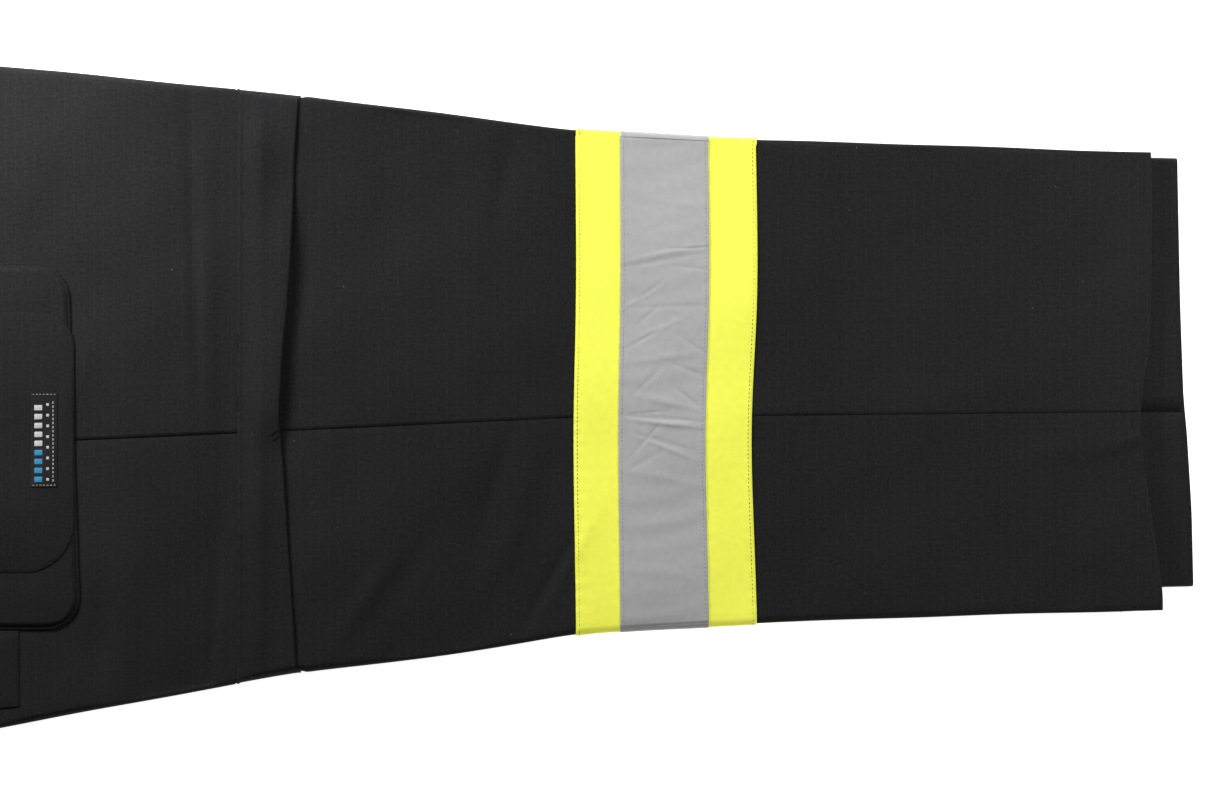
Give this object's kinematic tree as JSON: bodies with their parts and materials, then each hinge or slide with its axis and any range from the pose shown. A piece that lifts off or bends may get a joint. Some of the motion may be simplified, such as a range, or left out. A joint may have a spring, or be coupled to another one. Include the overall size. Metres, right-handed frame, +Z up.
{
  "type": "zip-off high-visibility cargo trousers",
  "caption": "Black ripstop zip-off cargo work trousers with a yellow and silver band on the lower legs, laid flat on their side, leg on leg.",
  "frame": {"origin": "bottom centre of the whole laid garment's box, on the surface it lies on", "axes": "+X from the waist to the hems, +Y to the wearer's front, +Z up from the left side to the right side"},
  "size_m": [1.1, 0.5544, 0.0378],
  "materials": {
    "ripstop": "black cotton ripstop with a fine square grid, matt",
    "lining": "black twill lining, matt",
    "elastic": "ribbed woven elastic",
    "hivis": "fluorescent yellow woven tape, matt",
    "silver": "silver reflective tape, satin",
    "zip_tape": "woven polyester zip tape",
    "zip_teeth": "black nylon zip coil",
    "zip_metal": "black painted zinc slider",
    "fly_metal": "antique brass teeth and slider",
    "button_metal": "dull nickel shank button",
    "hook_loop": "hook and loop tape",
    "label": "black damask woven label",
    "care": "white satin care label"
  },
  "bodies": {
    "trousers": {"right_front_panel": "ripstop", "right_back_panel": "ripstop", "right_back_thigh": "ripstop", "left_front_panel": "ripstop", "left_back_panel": "ripstop", "left_back_thigh": "ripstop", "waistband_outer": "ripstop", "waistband_lining": "lining", "waist_elastics": "elastic", "waist_tab": "ripstop", "waist_button": "button_metal", "belt_loops": "ripstop", "care_label": "care", "fly_facing": "lining", "fly_shield": "lining", "fly_zip_tapes": "zip_tape", "fly_zip_teeth": "fly_metal", "right_pocket_bag": "lining", "left_pocket_bag": "lining", "right_back_pocket": "ripstop", "left_back_pocket": "ripstop", "rule_pocket": "ripstop", "right_cargo_bellows": "ripstop", "right_cargo_pouch": "ripstop", "right_phone_pocket": "ripstop", "right_loop_tape": "hook_loop", "woven_label": "label", "left_cargo_bellows": "ripstop", "left_cargo_pouch": "ripstop", "left_phone_pocket": "ripstop", "left_loop_tape": "hook_loop", "right_flap_wrap": "ripstop", "right_upper_tape": "zip_tape", "right_upper_teeth": "zip_teeth", "left_flap_wrap": "ripstop", "left_upper_tape": "zip_tape", "left_upper_teeth": "zip_teeth"},
    "right_lower_leg": {"right_lower_front": "ripstop", "right_lower_back": "ripstop", "right_hivis_band": "hivis", "right_silver_tape": "silver", "right_lower_tape": "zip_tape", "right_lower_teeth": "zip_teeth"},
    "left_lower_leg": {"left_lower_front": "ripstop", "left_lower_back": "ripstop", "left_hivis_band": "hivis", "left_silver_tape": "silver", "left_lower_tape": "zip_tape", "left_lower_teeth": "zip_teeth"},
    "right_flap_body": {"right_storm_flap": "ripstop"},
    "left_flap_body": {"left_storm_flap": "ripstop"},
    "right_pocket_flap": {"right_cargo_flap": "ripstop", "right_hook_tape": "hook_loop"},
    "left_pocket_flap": {"left_cargo_flap": "ripstop", "left_hook_tape": "hook_loop"},
    "right_slider": {"right_zip_slider": "zip_metal", "right_zip_pull": "zip_metal"},
    "left_slider": {"left_zip_slider": "zip_metal", "left_zip_pull": "zip_metal"},
    "fly_slider_body": {"fly_slider": "fly_metal"}
  },
  "joints": [
    {"name": "right_leg_zip_off", "type": "slide", "parent": "trousers", "child": "right_lower_leg", "axis": [1, 0, 0], "range_m": [0, 0.16]},
    {"name": "left_leg_zip_off", "type": "slide", "parent": "trousers", "child": "left_lower_leg", "axis": [1, 0, 0], "range_m": [0, 0.16]},
    {"name": "right_storm_flap_lift", "type": "hinge", "parent": "trousers", "child": "right_flap_body", "pos_m": [0.014, 0, 0.026], "axis": [0, -1, 0], "range_deg": [0, 150]},
    {"name": "left_storm_flap_lift", "type": "hinge", "parent": "trousers", "child": "left_flap_body", "pos_m": [0.027, 0, 0.0016], "axis": [0, 1, 0], "range_deg": [0, 150]},
    {"name": "right_pocket_flap_lift", "type": "hinge", "parent": "trousers", "child": "right_pocket_flap", "pos_m": [-0.311, 0, 0.03375], "axis": [0, -1, 0], "range_deg": [0, 150]},
    {"name": "left_pocket_flap_lift", "type": "hinge", "parent": "trousers", "child": "left_pocket_flap", "pos_m": [-0.311, 0, 0.00405], "axis": [0, 1, 0], "range_deg": [0, 150]},
    {"name": "right_zip_run", "type": "slide", "parent": "trousers", "child": "right_slider", "axis": [0, 1, 0], "range_m": [0, 0.15]},
    {"name": "left_zip_run", "type": "slide", "parent": "trousers", "child": "left_slider", "axis": [0, 1, 0], "range_m": [0, 0.15]},
    {"name": "fly_zip_run", "type": "slide", "parent": "trousers", "child": "fly_slider_body", "axis": [1, 0, 0], "range_m": [0, 0.1]}
  ]
}
